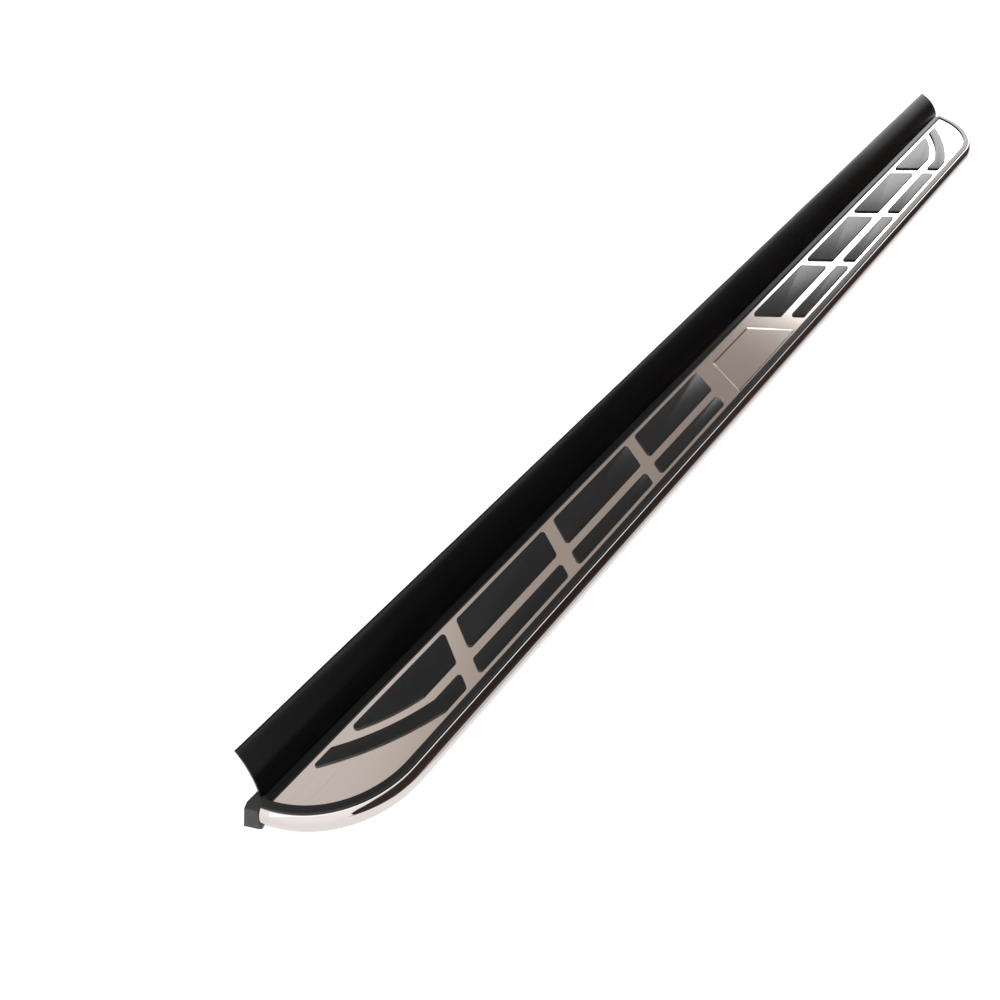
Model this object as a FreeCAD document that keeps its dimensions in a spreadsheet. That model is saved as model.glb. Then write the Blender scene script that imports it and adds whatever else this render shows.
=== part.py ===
import FreeCAD, Part
import math
import os
import Sketcher

# Running board for the side of a vehicle.
# The board is drawn in its own frame: X runs along the board, Y towards the vehicle and Z up.
# In that frame the tread's top face is Z 0 and its rear edge is Y 0. Every body's Placement
# then lifts it so that the underside is Z 0 and the board is centred on the origin.

doc = FreeCAD.newDocument("running_board")
sheet = doc.addObject("Spreadsheet::Sheet", "params")

CELLS = [
    # outline of the tread, seen from above
    ("end_centre_x", 840.0),
    ("end_radius", 128.0),
    ("plate_depth", 84.3),
    ("plate_set_back", 1.4),
    ("deck_tuck", 2.5),
    ("plate_thick", 0.8),
    ("deck_top", 31.0),
    ("frame_shift", 26.07),
    # rows of rubber pads
    ("pad_slant", 0.62),
    ("pad_slant_run", 1.1766),
    ("pad_pitch", 199.8),
    ("pad_long", 177.4),
    ("pad_middle_gap", 86.6),
    ("rear_row_back", 7.5),
    ("rear_row_front", 46.4),
    ("front_row_back", 58.9),
    ("front_row_front", 77.9),
    ("pad_rise", 2.8),
    ("pad_corner", 4.0),
    ("horn_corner", 2.2),
    ("pad_top_edge", 0.6),
    ("pad_flange_wide", 2.0),
    ("pad_flange_thick", 1.2),
    ("window_gap", 0.25),
    ("seat_gap", 2.3),
    ("leaf_tip_x", 857.1),
    ("leaf_bend_x", 771.0),
    ("leaf_curve", 270.0),
    ("horn_bend_x", 768.0),
    ("horn_tip_inner_x", 879.1),
    ("horn_tip_outer_x", 909.1),
    ("horn_inner_curve", 330.0),
    ("horn_outer_curve", 410.0),
    # pressed panel in the middle of the tread
    ("panel_back", 15.5),
    ("panel_front", 81.0),
    ("panel_back_half", 56.0),
    ("panel_front_half", 94.5),
    ("panel_depth", 1.0),
    ("panel_wall", 2.0),
    # support tray
    ("tray_skin", 4.0),
    ("tray_rebate", 3.0),
    ("tray_rim_out", 8.6),
    ("tray_rim_wall", 2.6),
    ("tray_rim_low", 22.0),
    ("tray_rib_thick", 3.0),
    ("tray_rib_pitch", 160.0),
    ("tray_rib_low", 14.0),
    # aluminium rail
    ("rail_half", 940.0),
    ("rail_front", 40.0),
    ("rail_back", 21.0),
    ("rail_top", 4.8),
    ("rail_wall", 2.2),
    ("slot_centre", 6.0),
    ("slot_mouth", 9.0),
    ("slot_room", 18.0),
    ("slot_lip", 3.5),
    ("slot_height", 7.5),
    ("slot_roof", 2.0),
    # sliding nuts
    ("nut_long", 30.0),
    ("nut_wide", 16.8),
    ("nut_thick", 6.0),
    ("nut_lift", 0.5),
    ("nut_bore", 6.8),
    ("nut_inner_x", 300.0),
    ("nut_outer_x", 780.0),
    # rubber edge strip and bright outer trim, measured outwards from the tread's edge
    ("strip_in", 0.2),
    ("strip_lap", 0.7),
    ("strip_out", 9.0),
    ("strip_rise", 2.0),
    ("strip_shoulder", 1.2),
    ("edge_sweep", 73.0),
    ("trim_sheet", 1.2),
    ("trim_low", 23.2),
    ("trim_lip_out", 10.9),
    ("trim_lip_drop", 0.62),
    ("trim_lip_curve", 2.64),
    ("trim_face_out", 17.15),
    ("trim_face_drop", 14.0),
    ("trim_face_curve", 17.5),
    ("trim_flange_in", 7.8),
    # splash flap and the strip that holds it
    ("flap_curve_y", 70.9),
    ("flap_curve_z", -15.3),
    ("flap_radius", 64.5),
    ("flap_thick", 2.6),
    ("flap_tip_angle", 110.4),
    ("flap_foot_half", 959.6),
    ("flap_blade_half", 964.5),
    ("flap_end_taper", 0.248),
    ("flap_foot_front", 0.9),
    ("flap_foot_top", 2.45),
    ("flap_kink_y", 9.0),
    ("flap_bead_front", 7.6),
    ("flap_bead_back", 14.0),
    ("flap_bead_top", -0.6),
    ("flap_bead_low", -3.0),
    ("holder_half", 958.9),
    ("holder_lip", 0.6),
    ("holder_top", 0.3),
    ("holder_front", 2.8),
    ("holder_back", 18.5),
    ("holder_back_top", 2.0),
    ("mouth_front", 8.9),
    ("mouth_back", 12.0),
    ("bead_gap", 0.3),
    # end caps and fasteners
    ("cap_top", 4.9),
    ("cap_plug_long", 34.0),
    ("screw_x", 918.0),
    ("screw_z", -18.0),
    ("screw_shank", 4.0),
    ("screw_head", 8.5),
    ("deck_screw_y", 12.0),
]

for row, (alias, value) in enumerate(CELLS, start=1):
    sheet.set("A%d" % row, alias)
    sheet.set("B%d" % row, "%g" % value)
    sheet.setAlias("B%d" % row, alias)
doc.recompute()

PREFIX = "params."


def cell(text):
    """Expression text with every alias pointed at the sheet."""
    for alias in sorted((name for name, _ in CELLS), key=len, reverse=True):
        text = text.replace("#" + alias + "#", PREFIX + alias)
    return text


def number(text):
    """Present value of an expression."""
    value = sheet.evalExpression(cell(text))
    return float(getattr(value, "Value", value))


def new_body(label):
    """Body that stands in the board's own frame."""
    body = doc.addObject("PartDesign::Body", label)
    body.Label = label
    body.setExpression("Placement.Base.y", cell("#frame_shift#"))
    body.setExpression("Placement.Base.z", cell("#deck_top#"))
    return body


def plane(body, role):
    """One of the body's own origin planes."""
    return [item for item in body.Origin.OriginFeatures if item.Role == role][0]


def new_sketch(body, name, role, offset="0"):
    """Empty sketch on an origin plane, moved along its normal."""
    sketch = body.newObject("Sketcher::SketchObject", name)
    sketch.AttachmentSupport = [(plane(body, role), "")]
    sketch.MapMode = "FlatFace"
    sketch.setExpression("AttachmentOffset.Base.z", cell(offset))
    return sketch


def fix_point(sketch, geo, pos, across, upward):
    """Ties a point's two coordinates to expressions."""
    for kind, text in (("DistanceX", across), ("DistanceY", upward)):
        index = sketch.addConstraint(Sketcher.Constraint(kind, geo, pos, number(text)))
        sketch.setExpression("Constraints[%d]" % index, cell(text))


def add_loop(sketch, corners):
    """Closed loop. A corner is (x, y) or (x, y, radius, side) where the edge that follows bends.

    Side is 1 where the arc's centre lies to the left of the edge and -1 where it lies right.
    """
    count = len(corners)
    spots = [(number(c[0]), number(c[1])) for c in corners]
    ends = []
    for i, corner in enumerate(corners):
        a = spots[i]
        b = spots[(i + 1) % count]
        if len(corner) == 2:
            edge = Part.LineSegment(FreeCAD.Vector(a[0], a[1], 0), FreeCAD.Vector(b[0], b[1], 0))
            geo = sketch.addGeometry(edge, False)
            ends.append((geo, 1, 2))
            continue
        radius = number(corner[2])
        side = corner[3]
        half = math.dist(a, b) / 2.0
        reach = math.sqrt(radius * radius - half * half)
        nx = -(b[1] - a[1]) / (2.0 * half)
        ny = (b[0] - a[0]) / (2.0 * half)
        cx = (a[0] + b[0]) / 2.0 + side * reach * nx
        cy = (a[1] + b[1]) / 2.0 + side * reach * ny
        from_angle = math.atan2(a[1] - cy, a[0] - cx)
        to_angle = math.atan2(b[1] - cy, b[0] - cx)
        if side < 0:
            from_angle, to_angle = to_angle, from_angle
        circle = Part.Circle(FreeCAD.Vector(cx, cy, 0), FreeCAD.Vector(0, 0, 1), radius)
        geo = sketch.addGeometry(Part.ArcOfCircle(circle, from_angle, to_angle), False)
        ends.append((geo, 1, 2) if side > 0 else (geo, 2, 1))
        index = sketch.addConstraint(Sketcher.Constraint("Radius", geo, radius))
        sketch.setExpression("Constraints[%d]" % index, cell(corner[2]))
    for i, corner in enumerate(corners):
        geo, first, last = ends[i]
        after = ends[(i + 1) % count]
        sketch.addConstraint(Sketcher.Constraint("Coincident", geo, last, after[0], after[1]))
        fix_point(sketch, geo, first, corner[0], corner[1])


def add_circle(sketch, across, upward, diameter):
    """Circle with its centre and diameter tied to expressions."""
    centre = FreeCAD.Vector(number(across), number(upward), 0)
    circle = Part.Circle(centre, FreeCAD.Vector(0, 0, 1), number(diameter) / 2.0)
    geo = sketch.addGeometry(circle, False)
    index = sketch.addConstraint(Sketcher.Constraint("Diameter", geo, number(diameter)))
    sketch.setExpression("Constraints[%d]" % index, cell(diameter))
    fix_point(sketch, geo, 3, across, upward)


def pad_up(body, sketch, length, middle=False, reverse=False):
    """Extrusion of a sketch."""
    feature = body.newObject("PartDesign::Pad", "pad")
    feature.Profile = sketch
    feature.Midplane = middle
    feature.Reversed = reverse
    feature.setExpression("Length", cell(length))
    doc.recompute()
    return feature


def pocket(body, sketch, length, reverse=False, middle=False):
    """Cut of a sketch, checked to take material away."""
    before = body.Shape.Volume
    feature = body.newObject("PartDesign::Pocket", "pocket")
    feature.Profile = sketch
    feature.Midplane = middle
    feature.Reversed = reverse
    feature.setExpression("Length", cell(length))
    doc.recompute()
    if body.Shape.Volume >= before - 1e-6:
        raise RuntimeError("pocket in %s takes nothing away" % body.Label)
    return feature


def turn(body, sketch, spot, angle, reverse=False):
    """Revolution of a sketch about its construction line."""
    feature = body.newObject("PartDesign::Revolution", "turn")
    feature.Profile = sketch
    feature.ReferenceAxis = (sketch, ["Axis%d" % spot])
    feature.Reversed = reverse
    feature.setExpression("Angle", cell(angle))
    doc.recompute()
    return feature


def outline(grow, back):
    """Corners of the tread's outline grown outwards, closed at a rear line."""
    radius = "(#end_radius#+%s)" % grow
    rise = "(#end_radius#-#plate_depth#-%s)" % back
    half = "(#end_centre_x#+sqrt(%s*%s-%s*%s))" % (radius, radius, rise, rise)
    front = "-(#plate_depth#+%s)" % grow
    return [
        ("-%s" % half, back, radius, 1),
        ("-#end_centre_x#", front),
        ("#end_centre_x#", front, radius, 1),
        (half, back),
    ]


def bar_pad(place, back, front, grow):
    """Corners of a slanted pad on the left half; place counts outwards from the middle."""
    near = "-(#pad_middle_gap#+%d*#pad_pitch#)" % place
    far = "(%s-#pad_long#)" % near
    b = "(-%s+%s)" % (back, grow)
    f = "(-%s-%s)" % (front, grow)
    out = "%s*#pad_slant_run#" % grow
    return [
        ("%s+#pad_slant#*%s-%s" % (far, b, out), b),
        ("%s+#pad_slant#*%s-%s" % (far, f, out), f),
        ("%s+#pad_slant#*%s+%s" % (near, f, out), f),
        ("%s+#pad_slant#*%s+%s" % (near, b, out), b),
    ]


def leaf_pad(grow):
    """Corners of the pointed end pad of the rear row, left half."""
    near = "-(#pad_middle_gap#+3*#pad_pitch#)"
    b = "(-#rear_row_back#+%s)" % grow
    f = "(-#rear_row_front#-%s)" % grow
    out = "%s*#pad_slant_run#" % grow
    return [
        ("-#leaf_tip_x#-%s*3.4" % grow, b, "#leaf_curve#+%s" % grow, 1),
        ("-#leaf_bend_x#-%s*0.2" % grow, f),
        ("%s+#pad_slant#*%s+%s" % (near, f, out), f),
        ("%s+#pad_slant#*%s+%s" % (near, b, out), b),
    ]


def horn_pad(grow):
    """Corners of the bent end pad of the front row, left half."""
    near = "-(#pad_middle_gap#+3*#pad_pitch#)"
    b = "(-#front_row_back#+%s)" % grow
    f = "(-#front_row_front#-%s)" % grow
    tip = "(-#rear_row_back#+0.5+%s)" % grow
    out = "%s*#pad_slant_run#" % grow
    return [
        ("-#horn_bend_x#+%s*0.2" % grow, b, "#horn_inner_curve#-%s" % grow, -1),
        ("-#horn_tip_inner_x#+%s*0.3" % grow, tip),
        ("-#horn_tip_outer_x#-%s*2.95" % grow, tip, "#horn_outer_curve#+%s" % grow, 1),
        ("-#horn_bend_x#-3-%s*0.2" % grow, f),
        ("%s+#pad_slant#*%s+%s" % (near, f, out), f),
        ("%s+#pad_slant#*%s+%s" % (near, b, out), b),
    ]


def mirrored(corners):
    """The same corners on the right half."""
    flipped = []
    for corner in corners:
        x = "-(%s)" % corner[0]
        flipped.append((x, corner[1]) if len(corner) == 2 else
                       (x, corner[1], corner[2], -corner[3]))
    return flipped


def pad_corners(row, place, right, grow):
    """Corners of one pad. Place 3 is the end pad."""
    if place < 3 and row == "rear":
        corners = bar_pad(place, "#rear_row_back#", "#rear_row_front#", grow)
    elif place < 3:
        corners = bar_pad(place, "#front_row_back#", "#front_row_front#", grow)
    elif row == "rear":
        corners = leaf_pad(grow)
    else:
        corners = horn_pad(grow)
    return mirrored(corners) if right else corners


def panel_corners(grow):
    """Corners of the pressed panel in the middle."""
    return [
        ("-(#panel_back_half#+%s*0.6)" % grow, "-#panel_back#+%s" % grow),
        ("-(#panel_front_half#+%s*1.6)" % grow, "-#panel_front#-%s" % grow),
        ("#panel_front_half#+%s*1.6" % grow, "-#panel_front#-%s" % grow),
        ("#panel_back_half#+%s*0.6" % grow, "-#panel_back#+%s" % grow),
    ]


def box_corners(left, right, low, high):
    """Corners of a rectangle."""
    return [(left, low), (right, low), (right, high), (left, high)]


def upright_edges(shape, front, back):
    """Names of the upright edges that stand between two Y positions."""
    names = []
    for i, edge in enumerate(shape.Edges, start=1):
        box = edge.BoundBox
        if box.XLength < 0.01 and box.YLength < 0.01 and box.YMin > front and box.YMax < back:
            names.append("Edge%d" % i)
    return names


def level_edges(shape, height):
    """Names of the edges that lie at one height."""
    names = []
    for i, edge in enumerate(shape.Edges, start=1):
        box = edge.BoundBox
        if abs(box.ZMin - height) < 0.01 and abs(box.ZMax - height) < 0.01:
            names.append("Edge%d" % i)
    return names


def round_corners(body, base, grow):
    """Fillets of a pad's or window's corners; the horn's outer tip has its own, smaller radius."""
    front = -number("#plate_depth#-2")
    back = -number("#plate_set_back#+2")
    tip_x = number("#horn_tip_outer_x#-1")
    for at_tip, radius in ((False, "#pad_corner#"), (True, "#horn_corner#")):
        names = [name for name in upright_edges(base.Shape, front, back)
                 if (abs(base.Shape.getElement(name).BoundBox.XMin) > tip_x) == at_tip]
        if names:
            base = ease(body, "Fillet", base, names, "%s+%s" % (radius, grow))
    return base


def ease(body, kind, base, names, cell_name):
    """Fillet or chamfer of named edges."""
    feature = body.newObject("PartDesign::" + kind, kind.lower())
    feature.Base = (base, names)
    key = "Radius" if kind == "Fillet" else "Size"
    feature.setExpression(key, cell(cell_name))
    doc.recompute()
    return feature


parts = []

# Extruded aluminium rail: closed chambers and a T-slot that opens downwards.
rail = new_body("main_rail")
rail_profile = new_sketch(rail, "rail_profile", "YZ_Plane")
foot = "(-#deck_top#)"
lip = "(%s+#slot_lip#)" % foot
roof = "(%s+#slot_height#)" % lip
mouth_l = "(-#slot_centre#-#slot_mouth#/2)"
mouth_r = "(-#slot_centre#+#slot_mouth#/2)"
room_l = "(-#slot_centre#-#slot_room#/2)"
room_r = "(-#slot_centre#+#slot_room#/2)"
add_loop(rail_profile, [
    ("-#rail_front#", foot), (mouth_l, foot), (mouth_l, lip), (room_l, lip), (room_l, roof),
    (room_r, roof), (room_r, lip), (mouth_r, lip), (mouth_r, foot), ("#rail_back#", foot),
    ("#rail_back#", "-#rail_top#"), ("-#rail_front#", "-#rail_top#"),
])
ceiling = "(-#rail_top#-#rail_wall#)"
floor = "(%s+#rail_wall#)" % foot
add_loop(rail_profile, box_corners("-#rail_front#+#rail_wall#", "%s-#rail_wall#" % room_l,
                                   floor, ceiling))
add_loop(rail_profile, box_corners(room_l, room_r, "%s+#slot_roof#" % roof, ceiling))
add_loop(rail_profile, box_corners("%s+#rail_wall#" % room_r, "#rail_back#-#rail_wall#",
                                   floor, ceiling))
pad_up(rail, rail_profile, "2*#rail_half#", middle=True)

# Long holes in the rail's rear wall let the end cap screws be set.
cap_slots = new_sketch(rail, "cap_slots", "XZ_Plane", "-#rail_back#")
for side in ("-", ""):
    centre = "%s#screw_x#" % side
    r = "(#screw_shank#/2+0.4)"
    low = "#screw_z#-%s" % r
    high = "#screw_z#+%s" % r
    add_loop(cap_slots, [
        ("%s-4" % centre, low), ("%s+4" % centre, low, r, 1),
        ("%s+4" % centre, high), ("%s-4" % centre, high, r, 1),
    ])
pocket(rail, cap_slots, "#rail_wall#*3", middle=True)
deck_holes = new_sketch(rail, "deck_holes", "XY_Plane", "-#rail_top#")
SCREW_PLACES = [(place, right) for place in range(3) for right in (False, True)]


def deck_screw_spot(place, right):
    """Centre of a deck screw, in the gap between two rear pads."""
    across = "(#pad_middle_gap#+%d*#pad_pitch#-(#pad_pitch#-#pad_long#)/2" % (place + 1)
    across += "+#pad_slant#*#deck_screw_y#)"
    return (across if right else "-" + across), "-#deck_screw_y#"


for place, right in SCREW_PLACES:
    across, upward = deck_screw_spot(place, right)
    add_circle(deck_holes, across, upward, "#screw_shank#")
pocket(rail, deck_holes, "#rail_wall#*3", middle=True)
parts.append(rail)

# Moulded support tray: a skin under the tread, a rim inside the trim and cross ribs.
tray = new_body("support_tray")
shell = new_sketch(tray, "shell", "XY_Plane", "-#tray_rebate#")
add_loop(shell, outline("#tray_rim_out#", "#deck_tuck#"))
pad_up(tray, shell, "#tray_rim_low#-#tray_rebate#", reverse=True)
raised = new_sketch(tray, "raised", "XY_Plane", "-#tray_rebate#-0.5")
add_loop(raised, outline("0", "#deck_tuck#"))
pad_up(tray, raised, "#tray_rebate#+0.5-#plate_thick#")
hollow = new_sketch(tray, "hollow", "XY_Plane", "-#tray_rim_low#")
add_loop(hollow, outline("(#tray_rim_out#-#tray_rim_wall#)", "(#deck_tuck#+5)"))
pocket(tray, hollow, "#tray_rim_low#-#rail_top#", reverse=True)
ribs = new_sketch(tray, "ribs", "XY_Plane", "-#rail_top#+0.5")
for i in range(-5, 6):
    middle = "%d*#tray_rib_pitch#" % i
    add_loop(ribs, box_corners("%s-#tray_rib_thick#/2" % middle, "%s+#tray_rib_thick#/2" % middle,
                               "-(#plate_depth#+#tray_rim_out#-#tray_rim_wall#/2)",
                               "-(#rail_front#+0.3)"))
pad_up(tray, ribs, "#tray_rib_low#", reverse=True)
for row in ("rear", "front"):
    seats = new_sketch(tray, row + "_seats", "XY_Plane", "-#plate_thick#")
    for right in (False, True):
        for place in range(4):
            add_loop(seats, pad_corners(row, place, right, "#seat_gap#"))
    pocket(tray, seats, "#pad_flange_thick#")
panel_seat = new_sketch(tray, "panel_seat", "XY_Plane", "-#plate_thick#")
add_loop(panel_seat, panel_corners("1.4"))
pocket(tray, panel_seat, "#panel_depth#+0.2")
screw_ways = new_sketch(tray, "screw_ways", "XY_Plane", "-#plate_thick#")
screw_sinks = new_sketch(tray, "screw_sinks", "XY_Plane", "-#plate_thick#")
for place, right in SCREW_PLACES:
    across, upward = deck_screw_spot(place, right)
    add_circle(screw_ways, across, upward, "#screw_shank#+0.6")
    add_circle(screw_sinks, across, upward, "#screw_head#+0.6")
pocket(tray, screw_ways, "#tray_skin#+1")
pocket(tray, screw_sinks, "2.2")
parts.append(tray)

# Fixings between tray and rail, hidden by the tread.
screws = new_body("deck_screws")
screws.AllowCompound = True
heads = new_sketch(screws, "heads", "XY_Plane", "-#plate_thick#-2.1")
shanks = new_sketch(screws, "shanks", "XY_Plane", "-#plate_thick#-2.1")
for place, right in SCREW_PLACES:
    across, upward = deck_screw_spot(place, right)
    add_circle(heads, across, upward, "#screw_head#")
    add_circle(shanks, across, upward, "#screw_shank#-0.1")
pad_up(screws, heads, "1.9")
pad_up(screws, shanks, "9", reverse=True)
parts.append(screws)

# Stainless tread with windows for the pads and a pressed panel in the middle.
tread = new_body("tread_plate")
blank = new_sketch(tread, "blank", "XY_Plane", "-#plate_thick#")
add_loop(blank, outline("0", "(-#plate_set_back#)"))
pad_up(tread, blank, "#plate_thick#")
for kind, top, low in (("AdditiveLoft", "-#plate_thick#/2", "-#plate_thick#-#panel_depth#"),
                       ("SubtractiveLoft", "0", "-#panel_depth#")):
    spread = "0.8" if kind == "AdditiveLoft" else "0"
    rim = new_sketch(tread, "panel_rim", "XY_Plane", top)
    bed = new_sketch(tread, "panel_bed", "XY_Plane", low)
    add_loop(rim, panel_corners(spread))
    add_loop(bed, panel_corners("(%s-#panel_wall#)" % spread))
    walls = tread.newObject("PartDesign::" + kind, "panel_walls")
    walls.Profile = rim
    walls.Sections = [bed]
    walls.Ruled = True
    doc.recompute()
for row in ("rear", "front"):
    windows = new_sketch(tread, row + "_windows", "XY_Plane")
    for right in (False, True):
        for place in range(4):
            add_loop(windows, pad_corners(row, place, right, "#window_gap#"))
    pocket(tread, windows, "#plate_thick#+1")
round_corners(tread, tread.Tip, "#window_gap#")
parts.append(tread)

# Rubber pads: a block that stands up through its window and a flange held under the tread.
for row in ("rear", "front"):
    for right in (False, True):
        for place in range(4):
            number_along = 5 + place if right else 4 - place
            pad = new_body("%s_pad_%d" % (row, number_along))
            block = new_sketch(pad, "block", "XY_Plane", "-#plate_thick#-#pad_flange_thick#")
            add_loop(block, pad_corners(row, place, right, "0"))
            solid = pad_up(pad, block, "#pad_rise#+#plate_thick#+#pad_flange_thick#")
            solid = round_corners(pad, solid, "0")
            top = level_edges(solid.Shape, number("#pad_rise#"))
            ease(pad, "Chamfer", solid, top, "#pad_top_edge#")
            flange = new_sketch(pad, "flange", "XY_Plane", "-#plate_thick#-#pad_flange_thick#")
            add_loop(flange, pad_corners(row, place, right, "#pad_flange_wide#"))
            pad_up(pad, flange, "#pad_flange_thick#-0.05")
            parts.append(pad)


def edge_band(label, corners):
    """Section swept along the front edge and round both ends of the tread."""
    body = new_body(label)
    straight = new_sketch(body, "straight", "YZ_Plane")
    add_loop(straight, corners)
    pad_up(body, straight, "2*#end_centre_x#", middle=True)
    for right in (False, True):
        sign = "" if right else "-"
        bend = new_sketch(body, "bend", "YZ_Plane", sign + "#end_centre_x#")
        add_loop(bend, corners)
        axis_y = number("#end_radius#-#plate_depth#")
        low = FreeCAD.Vector(axis_y, -10, 0)
        high = FreeCAD.Vector(axis_y, 10, 0)
        axis = bend.addGeometry(Part.LineSegment(low, high), True)
        fix_point(bend, axis, 1, "#end_radius#-#plate_depth#", "-10")
        fix_point(bend, axis, 2, "#end_radius#-#plate_depth#", "10")
        turn(body, bend, 0, "#edge_sweep#", reverse=not right)
    parts.append(body)
    return body


def outwards(distance, height, *bend):
    """Corner of a band's section, given by its distance outwards from the tread."""
    return ("-#plate_depth#-(%s)" % distance, "%s" % height) + bend


# Rubber strip round the tread. It laps the steel and slopes down to the trim.
edge_band("edge_strip", [
    outwards("#strip_in#", "-#tray_rebate#"),
    outwards("#strip_in#", "0.05"),
    outwards("-#strip_lap#", "0.05"),
    outwards("-#strip_lap#", "#strip_rise#-0.6", "0.6", 1),
    outwards("-#strip_lap#+0.6", "#strip_rise#", "40", 1),
    outwards("#strip_out#-1.8", "#strip_shoulder#", "2.2", 1),
    outwards("#strip_out#", "-0.3"),
    outwards("#strip_out#", "-#tray_rebate#"),
])

# Bright trim: a thin sheet that hooks over the tray's rim and turns in under it.
edge_band("outer_trim", [
    outwards("#strip_out#+0.2", "0", "#trim_lip_curve#", 1),
    outwards("#trim_lip_out#", "-#trim_lip_drop#", "#trim_face_curve#", 1),
    outwards("#trim_face_out#", "-#trim_face_drop#"),
    outwards("#trim_face_out#-0.45", "-#trim_low#"),
    outwards("#trim_flange_in#", "-#trim_low#"),
    outwards("#trim_flange_in#", "-#trim_low#+#trim_sheet#"),
    outwards("#trim_face_out#-0.4-#trim_sheet#", "-#trim_low#+#trim_sheet#"),
    outwards("#trim_face_out#-#trim_sheet#", "-#trim_face_drop#",
             "#trim_face_curve#-#trim_sheet#", -1),
    outwards("#trim_lip_out#-0.643*#trim_sheet#", "-#trim_lip_drop#-0.766*#trim_sheet#",
             "#trim_lip_curve#-#trim_sheet#", -1),
    outwards("#strip_out#+0.2", "-#trim_sheet#"),
])

# Strip that holds the splash flap: a low lip behind the tread and a channel over the rail.
holder = new_body("flap_holder")
holder_profile = new_sketch(holder, "holder_profile", "YZ_Plane")
bead_roof = "#flap_bead_top#+#bead_gap#"
bead_floor = "#flap_bead_low#-#bead_gap#"
bead_front = "#flap_bead_front#-#bead_gap#"
bead_back = "#flap_bead_back#+#bead_gap#"
add_loop(holder_profile, [
    ("#holder_front#", "-#rail_top#+0.05"), ("#holder_back#", "-#rail_top#+0.05"),
    ("#holder_back#", "#holder_back_top#-1"), ("#holder_back#-2", "#holder_back_top#"),
    ("#mouth_back#", "#holder_back_top#"), ("#mouth_back#", bead_roof), (bead_back, bead_roof),
    (bead_back, bead_floor), (bead_front, bead_floor), (bead_front, bead_roof),
    ("#mouth_front#", bead_roof), ("#mouth_front#", "#holder_top#"),
    ("-#holder_lip#", "#holder_top#"), ("-#holder_lip#", "-#plate_thick#+0.05"),
    ("#holder_front#", "-#plate_thick#+0.05"),
])
pad_up(holder, holder_profile, "2*#holder_half#", middle=True)
parts.append(holder)

# Rubber splash flap: a bead in the channel, a foot on the holder and a blade that curves back.
flap = new_body("splash_flap")
flap_profile = new_sketch(flap, "flap_profile", "YZ_Plane")
inner_radius = "(#flap_radius#-#flap_thick#)"
inner_y = "(#flap_kink_y#+2.7)"
run = "(#flap_curve_y#-%s)"
rise = "#flap_curve_z#+sqrt({1}*{1}-{0}*{0})"
outer_start = rise.format(run % "#flap_kink_y#", "#flap_radius#")
inner_start = rise.format(run % inner_y, inner_radius)
add_loop(flap_profile, [
    ("#flap_bead_front#", "#flap_bead_low#"), ("#flap_bead_back#", "#flap_bead_low#"),
    ("#flap_bead_back#", "#flap_bead_top#"),
    (inner_y, "#flap_bead_top#"), (inner_y, inner_start, inner_radius, -1),
    ("#flap_curve_y#+%s*cos(#flap_tip_angle#)" % inner_radius,
     "#flap_curve_z#+%s*sin(#flap_tip_angle#)" % inner_radius),
    ("#flap_curve_y#+#flap_radius#*cos(#flap_tip_angle#)",
     "#flap_curve_z#+#flap_radius#*sin(#flap_tip_angle#)", "#flap_radius#", 1),
    ("#flap_kink_y#", outer_start),
    ("#flap_foot_front#+0.4", "#flap_foot_top#"),
    ("#flap_foot_front#", "#flap_foot_top#-0.4"),
    ("#flap_foot_front#", "#holder_top#+0.05"),
    ("#flap_kink_y#+0.2", "#holder_top#+0.05"),
    ("#flap_kink_y#+0.2", "#flap_bead_top#"),
    ("#flap_bead_front#", "#flap_bead_top#"),
])
pad_up(flap, flap_profile, "2*#flap_blade_half#", middle=True)
end_cuts = new_sketch(flap, "end_cuts", "XZ_Plane", "-30")
for side in ("-", ""):
    blade_foot = "#flap_foot_top#+0.75"
    far_x = "%s(#flap_blade_half#+20)" % side
    add_loop(end_cuts, [
        ("%s#flap_foot_half#" % side, "-20"), (far_x, "-20"), (far_x, "60"),
        ("%s(#flap_blade_half#-#flap_end_taper#*(60-%s))" % (side, blade_foot), "60"),
        ("%s#flap_blade_half#" % side, blade_foot), ("%s#flap_foot_half#" % side, blade_foot),
    ])
pocket(flap, end_cuts, "100", middle=True)
parts.append(flap)

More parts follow.
